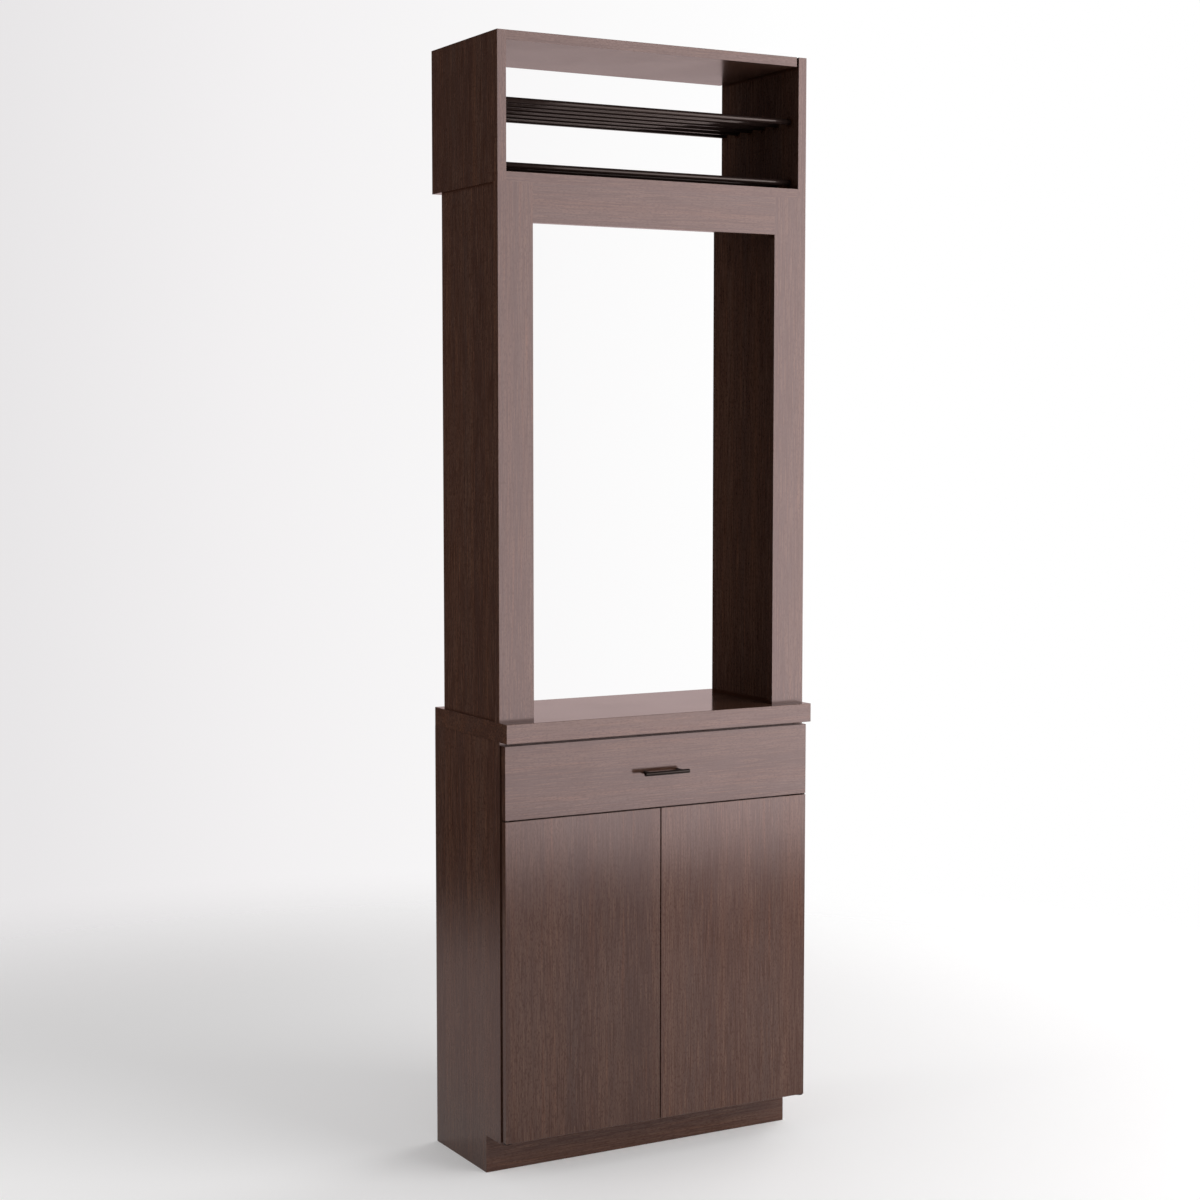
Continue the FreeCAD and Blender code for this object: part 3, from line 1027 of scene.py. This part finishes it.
@dataclass
class Screws:
    """Cross-recessed screws of the pull, drawer front, slides, pivots, latches and rails."""

    plating: Plating = Plating()
    enamel: Enamel = Enamel()
    crease: float = 28.0
    pull_bolt: ScrewHead = ScrewHead(4.2 * MM, 2.4 * MM)
    pull_centres: float = 76.2 * MM
    front_screw: ScrewHead = ScrewHead(4.0 * MM, 1.8 * MM)
    front_inset: tuple[float, float] = (46.0 * MM, 22.0 * MM)
    slide_screw: ScrewHead = ScrewHead(3.6 * MM, 1.8 * MM)
    slide_web: float = 325.05 * MM
    slide_places: tuple[float, ...] = (-104.0 * MM, -20.0 * MM, 100.0 * MM)
    leaf_screw: ScrewHead = ScrewHead(2.8 * MM, 1.2 * MM)
    leaf_middle: float = 329.55 * MM
    leaf_levels: tuple[float, ...] = (88.0 * MM, 717.4 * MM)
    rail_screw: ScrewHead = ScrewHead(4.2 * MM, 1.8 * MM)
    rail_inset: float = 90.0 * MM
    latch_screw: ScrewHead = ScrewHead(2.6 * MM, 1.1 * MM)
    latch_offset: float = 24.0 * MM
    latch_depth: float = 44.0 * MM

    def build(self) -> None:
        """Seats each group of screws on the board or fitting that it holds."""
        zinc = self.plating.dress("zinc_screws", Axis.Z)
        bronze = self.enamel.dress("bronze_enamel_screws")
        self._seat("drawer_front_screws", self._drawer_front(), zinc, "drawer")
        self._seat("slide_screws", self._slides(), zinc, "drawer")
        self._seat("pivot_screws", self._pivots(), bronze, "cabinet")
        self._seat("rail_screws", self._rails(), zinc, "cabinet")
        self._seat("latch_screws", self._latches(), zinc, "cabinet")

    def _seat(self, name: str, heads: list[Surface], finish: Material,
              body: str) -> None:
        """Makes one object of a group of heads.

        Args:
            name: The object's name.
            heads: The heads in their places.
            finish: Their finish.
            body: The body that they ride on.
        """
        piece = joined(heads).to_object(name, finish, self.crease)
        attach(piece, body)
        LOG.info("seated %d %s", len(heads), name)

    def _drawer_front(self) -> list[Surface]:
        """Two bolts of the pull and four screws of the front, inside the drawer.

        Returns:
            The heads in their places.
        """
        low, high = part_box("drawer_inner_front")
        low_bar, high_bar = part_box("pull_bar")
        level = (low_bar[2] + high_bar[2]) / 2
        columns = (low[0] + self.front_inset[0], high[0] - self.front_inset[0])
        levels = (low[2] + self.front_inset[1], high[2] - self.front_inset[1])
        bolts = [self.pull_bolt.seated((side * self.pull_centres / 2, high[1], level), Axis.Y, 1.0)
                 for side in BOTH_SIDES]
        return bolts + [self.front_screw.seated((x, high[1], z), Axis.Y, 1.0)
                        for x in columns for z in levels]

    def _slides(self) -> list[Surface]:
        """Three screws in each slide's drawer member.

        Returns:
            The heads in their places.
        """
        low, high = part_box("slide_drawer_members")
        level = (low[2] + high[2]) / 2
        return [self.slide_screw.seated((side * self.slide_web, y, level), Axis.X, float(side))
                for side in BOTH_SIDES for y in self.slide_places]

    def _pivots(self) -> list[Surface]:
        """One screw in the leaf of each pivot bracket.

        Returns:
            The heads in their places.
        """
        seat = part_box("divider_rail")[0][1]
        return [self.leaf_screw.seated((side * self.leaf_middle, seat, z), Axis.Y, -1.0)
                for side in BOTH_SIDES for z in self.leaf_levels]

    def _rails(self) -> list[Surface]:
        """Two screws up through each top rail into the countertop.

        Returns:
            The heads in their places.
        """
        heads = []
        for rail in ("front_top_rail", "rear_top_rail"):
            low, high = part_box(rail)
            middle = (low[1] + high[1]) / 2
            heads += [self.rail_screw.seated((x, middle, low[2]), Axis.Z, -1.0)
                      for x in (low[0] + self.rail_inset, high[0] - self.rail_inset)]
        return heads

    def _latches(self) -> list[Surface]:
        """One screw up through each latch housing into the rail.

        Returns:
            The heads in their places.
        """
        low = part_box("latch_housings")[0]
        depth = low[1] + self.latch_depth
        return [self.latch_screw.seated((side * self.latch_offset, depth, low[2]), Axis.Z, -1.0)
                for side in BOTH_SIDES]


@dataclass
class SlideBalls:
    """The rows of steel balls in the slides' cages.

    Each of the rows gives a cage, its body, how far out it lies and how far in from
    the cage's top and bottom the balls' centres are.
    """

    plating: Plating = Plating(sheen=0.16)
    radius: float = 1.45 * MM
    lead: float = 5.5 * MM
    pitch: float = 9.0 * MM
    balls: int = 12
    rows: tuple[tuple[str, str, float, float], ...] = (
        ("slide_outer_ball_cages", "outer_ball_cages", 331.875 * MM, 1.25 * MM),
        ("slide_inner_ball_cages", "inner_ball_cages", 330.075 * MM, 1.25 * MM),
    )
    pole_gap: float = 0.12
    rings: int = 7
    segments: int = 10
    crease: float = 80.0

    def build(self) -> None:
        """Sets a row of balls along the middle of each cage.

        A ball's profile is (-r cos a, r sin a) for a from a little over 0 to a little
        under a half turn, carried round the slide's axis.
        """
        finish = self.plating.dress("steel_balls", Axis.Y)
        rise = np.linspace(self.pole_gap, math.pi - self.pole_gap, self.rings)
        ball = np.stack([-np.cos(rise), np.sin(rise)], axis=1) * self.radius
        for cages, body, across, inset in self.rows:
            low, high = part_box(cages)
            places = [(side * across, low[1] + self.lead + count * self.pitch, z)
                      for side in BOTH_SIDES for z in (low[2] + inset, high[2] - inset)
                      for count in range(self.balls)]
            row = joined([turned(ball, place, Axis.Y, self.segments) for place in places])
            piece = row.to_object(f"{body}_balls", finish, self.crease)
            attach(piece, body)
            LOG.info("set %d balls in %s", len(places), cages)


@dataclass
class PinHoleCaps:
    """Caps over the spare shelf-pin holes on the inner faces of the side panels."""

    moulding: Moulding = GREY_MOULDING
    radius: float = 4.4 * MM
    rise: float = 0.6 * MM
    pitch: float = 64.0 * MM
    steps: tuple[int, ...] = (-3, -2, -1, 1, 2, 3)
    pin_width: float = 10.0 * MM
    pin_level: float = 392.1 * MM
    crown_turn: float = 0.46 * math.pi
    rings: int = 6
    segments: int = 24

    def build(self) -> None:
        """Turns the caps, two columns on each panel, above and below the shelf.

        A cap's profile is (rise sin a, r cos a) for a from 0 to nearly a quarter turn.
        """
        finish = self.moulding.dress("grey_cap_moulding")
        low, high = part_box("shelf_pins")
        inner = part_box("right_side_panel")[0][0]
        turn = np.linspace(0.0, self.crown_turn, self.rings)
        dome = np.stack([self.rise * np.sin(turn), self.radius * np.cos(turn)], axis=1)
        columns = (low[1] + self.pin_width / 2, high[1] - self.pin_width / 2)
        levels = [self.pin_level + step * self.pitch for step in self.steps]
        caps = [turned(dome * np.array([-side, 1.0]), (side * inner, y, z), Axis.X, self.segments)
                for side in BOTH_SIDES for y in columns for z in levels]
        piece = joined(caps).to_object("shelf_pin_hole_caps", finish)
        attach(piece, "cabinet")
        LOG.info("pressed in %d caps", len(caps))


# ---- Studio


@dataclass(frozen=True)
class Panel:
    """A soft lamp panel that the camera doesn't see.

    radiance is how bright its face is, where 1 is white, and sides how much of that
    its two side edges have, with an even change between.
    """

    name: str
    place: Point
    aim: Point
    size: tuple[float, float]
    radiance: float
    sides: tuple[float, float] = (1.0, 1.0)

    def build(self) -> None:
        """Hangs the panel, facing its aim, with an energy of 4 * radiance * area."""
        lamp = bpy.data.lights.new(self.name, "AREA")
        lamp.shape = "RECTANGLE"
        lamp.size, lamp.size_y = self.size
        lamp.energy = 4.0 * self.radiance * self.size[0] * self.size[1]
        lamp.use_nodes = True
        nodes = Nodes(lamp.node_tree)
        across = nodes.parts(nodes.node("ShaderNodeNewGeometry").outputs["Parametric"])[0]
        strength = nodes.span(across, Span(0.0, 1.0, *self.sides), "LINEAR")
        nodes.feed(nodes.tree.nodes["Emission"].inputs["Strength"], strength)
        made = bpy.data.objects.new(self.name, lamp)
        bpy.context.scene.collection.objects.link(made)
        made.location = self.place
        away = [place - aim for place, aim in zip(self.place, self.aim)]
        lean = math.atan2(math.hypot(away[0], away[1]), away[2])
        made.rotation_euler = (lean, 0.0, math.atan2(away[0], -away[1]))
        made.visible_camera = False


@dataclass
class Studio:
    """Pale floor, soft lights, pale surroundings and the camera."""

    camera_place: Point = (-2.30225, -4.02527, 1.48657)
    camera_turn: float = 29.10
    camera_dip: float = 4.35
    lens: float = 67.53
    film_width: float = 36.0
    camera_reach: float = 100.0
    floor_centre: Point = (-0.3, 0.1, 0.0)
    floor_radius: float = 6.0
    floor_hub: float = 0.12
    floor_rings: int = 24
    floor_segments: int = 96
    floor_fade: Span = Span(1.4, 3.0)
    floor_roughness: float = 0.75
    floor_gloss: float = 0.1
    floor_colour: Colour = (0.75, 0.742, 0.742)
    floor_in_gloss: Colour = (0.77, 0.76, 0.745)
    left_floor_in_gloss: Colour = (0.71, 0.57, 0.55)
    left_to_right: Span = Span(-0.75, -0.20)
    floor_glow: float = 0.175
    floor_glow_colour: Colour = (1.0, 0.993, 0.993)
    floor_glow_in_gloss: float = 0.3
    backdrop: Stops = (
        (0.10, (0.76, 0.75, 0.755)), (0.25, (0.81, 0.795, 0.803)),
        (0.35, (0.89, 0.875, 0.882)), (0.55, (1.0, 1.0, 1.0)))
    mirrored_backdrop: Stops = (
        (-0.50, (0.012, 0.006, 0.006)), (-0.25, (0.06, 0.042, 0.042)),
        (0.30, (0.62, 0.475, 0.465)), (0.60, (0.81, 0.635, 0.625)))
    mirrored_front: Colour = (0.76, 0.83, 0.83)
    to_front: Span = Span(-0.2, -0.8)
    mirrored_top: Colour = (0.35, 0.35, 0.35)
    to_top: Span = Span(0.25, 0.55)
    soft_light: Stops = (
        (-1.0, (0.32, 0.32, 0.32)), (0.0, (0.40, 0.40, 0.40)), (1.0, (0.60, 0.60, 0.60)))
    panels: tuple[Panel, ...] = (
        Panel("front_panel", place=(2.066, -2.835, 1.658), aim=(1.266, 0.057, 1.658),
              size=(3.1, 3.284), radiance=3.9, sides=(0.745, 1.225)),
        Panel("left_panel", place=(-2.8, 0.3, 1.4), aim=(0.0, 0.0, 1.2),
              size=(1.6, 2.0), radiance=1.9),
        Panel("right_panel", place=(3.2, 1.4, 1.5), aim=(1.2, 0.5, 0.0),
              size=(2.0, 2.0), radiance=2.4),
    )

    def build(self) -> None:
        """Builds the studio's parts in order."""
        self._floor()
        self._surroundings()
        for panel in self.panels:
            panel.build()
        self._camera()
        bpy.context.scene.view_settings.view_transform = "Standard"
        LOG.info("built the studio")

    def _floor(self) -> None:
        """A round floor that fades into the surroundings at its rim.

        Each point is centre + r * (cos t, sin t) over a grid of r and t.
        """
        radii = np.linspace(self.floor_hub, self.floor_radius, self.floor_rings)
        rows = np.stack([np.zeros(self.floor_rings), radii], axis=1)
        rings = ring_points(rows, Axis.Z, self.floor_segments)
        points = np.vstack([rings, np.zeros((1, 3))]) + np.array(self.floor_centre)
        quads = ring_faces(self.floor_rings, self.floor_segments)[:, ::-1]
        fan = fan_faces(0, self.floor_segments, len(rings))
        floor = Surface(points, quads, fan).to_object("studio_floor", self._floor_finish())

    def _floor_finish(self) -> Material:
        """A matt pale floor with a faint glow of its own, clear at its rim.

        Gloss sees it warmer at the left, as a floor away from its lamps is.

        Returns:
            The material.
        """
        sheet = Sheet("pale_floor")
        sheet.give("Roughness", self.floor_roughness)
        sheet.give("Specular IOR Level", self.floor_gloss)
        path = sheet.node("ShaderNodeLightPath").outputs
        share = sheet.span(sheet.parts(sheet.place)[0], self.left_to_right)
        mirrored_floor = sheet.mix(share, self.left_floor_in_gloss, self.floor_in_gloss)
        colour = sheet.mix(path["Is Glossy Ray"], self.floor_colour, mirrored_floor)
        sheet.give("Base Color", colour)
        mirrored = sheet.math("MULTIPLY", path["Is Glossy Ray"], self.floor_glow_in_gloss)
        looked_at = sheet.math("MAXIMUM", mirrored, path["Is Transmission Ray"])
        looked_at = sheet.math("MAXIMUM", path["Is Camera Ray"], looked_at)
        sheet.give("Emission Color", self.floor_glow_colour)
        sheet.give("Emission Strength", sheet.math("MULTIPLY", looked_at, self.floor_glow))
        middle = sheet.node("ShaderNodeVectorMath", operation="DISTANCE")
        sheet.feed(middle.inputs[0], sheet.place)
        sheet.feed(middle.inputs[1], self.floor_centre)
        blend = sheet.node("ShaderNodeMixShader")
        sheet.feed(blend.inputs[0], sheet.span(middle.outputs["Value"], self.floor_fade))
        sheet.feed(blend.inputs[1], sheet.surface.outputs[0])
        sheet.feed(blend.inputs[2], sheet.node("ShaderNodeBsdfTransparent").outputs[0])
        sheet.feed(sheet.tree.nodes["Material Output"].inputs["Surface"], blend.outputs[0])
        return sheet.material

    def _surroundings(self) -> None:
        """Even light for matt faces, and a pale backdrop for the camera and for gloss.

        The backdrop darkens to the left, and in gloss to the front and the top, as a
        studio wall away from its lamps does.
        """
        world = bpy.data.worlds.new("studio_surroundings")
        bpy.context.scene.world = world
        world.use_nodes = True
        nodes = Nodes(world.node_tree)
        nodes.tree.nodes.clear()
        heading = nodes.parts(nodes.node("ShaderNodeTexCoord").outputs["Generated"])
        path = nodes.node("ShaderNodeLightPath").outputs
        seen = self._ramp(nodes, heading[0], self.backdrop)
        even = self._ramp(nodes, heading[0], self.soft_light)
        mirrored = self._ramp(nodes, heading[0], self.mirrored_backdrop)
        for part, change, share in ((heading[1], self.to_front, self.mirrored_front),
                                    (heading[2], self.to_top, self.mirrored_top)):
            mirrored = nodes.mix(nodes.span(part, change, "LINEAR"), mirrored, share, "MULTIPLY")
        colour = nodes.mix(path["Is Glossy Ray"], even, mirrored)
        colour = nodes.mix(path["Is Transmission Ray"], colour, seen)
        colour = nodes.mix(path["Is Camera Ray"], colour, seen)
        background = nodes.node("ShaderNodeBackground")
        nodes.feed(background.inputs["Color"], colour)
        nodes.feed(nodes.node("ShaderNodeOutputWorld").inputs["Surface"], background.outputs[0])

    @staticmethod
    def _ramp(nodes: Nodes, part: Socket, stops: Stops) -> Socket:
        """A colour ramp over a part of the heading, which goes from -1 to 1.

        Args:
            nodes: The world's nodes.
            part: The heading's part.
            stops: Places along it and their colours.

        Returns:
            The colour's socket.
        """
        made = nodes.node("ShaderNodeValToRGB")
        nodes.feed(made.inputs[0], nodes.span(part, Span(-1.0, 1.0), "LINEAR"))
        elements = made.color_ramp.elements
        while len(elements) < len(stops):
            elements.new(0.5)
        for element, (place, colour) in zip(elements, stops):
            element.position = (place + 1.0) / 2.0
            element.color = (*colour, 1.0)
        return made.outputs[0]

    def _camera(self) -> None:
        """The camera at the photograph's viewing angle."""
        lens = bpy.data.cameras.new("studio_camera")
        lens.lens = self.lens
        lens.sensor_width = self.film_width
        lens.clip_end = self.camera_reach
        made = bpy.data.objects.new("studio_camera", lens)
        bpy.context.scene.collection.objects.link(made)
        made.location = self.camera_place
        lean = math.radians(90.0 - self.camera_dip)
        made.rotation_euler = (lean, 0.0, math.radians(-self.camera_turn))
        bpy.context.scene.camera = made


def main() -> None:
    """Builds the sub-assemblies in order."""
    logging.basicConfig(level=logging.INFO, format="%(name)s: %(message)s")
    assemblies = (VeneeredBoards(), DrawerBox(), Pull(), RodRacks(), Fittings(), Screws(),
                  SlideBalls(), PinHoleCaps(), Studio())
    for assembly in assemblies:
        assembly.build()
        LOG.info("finished %s", type(assembly).__name__)


if __name__ == "__main__":
    main()
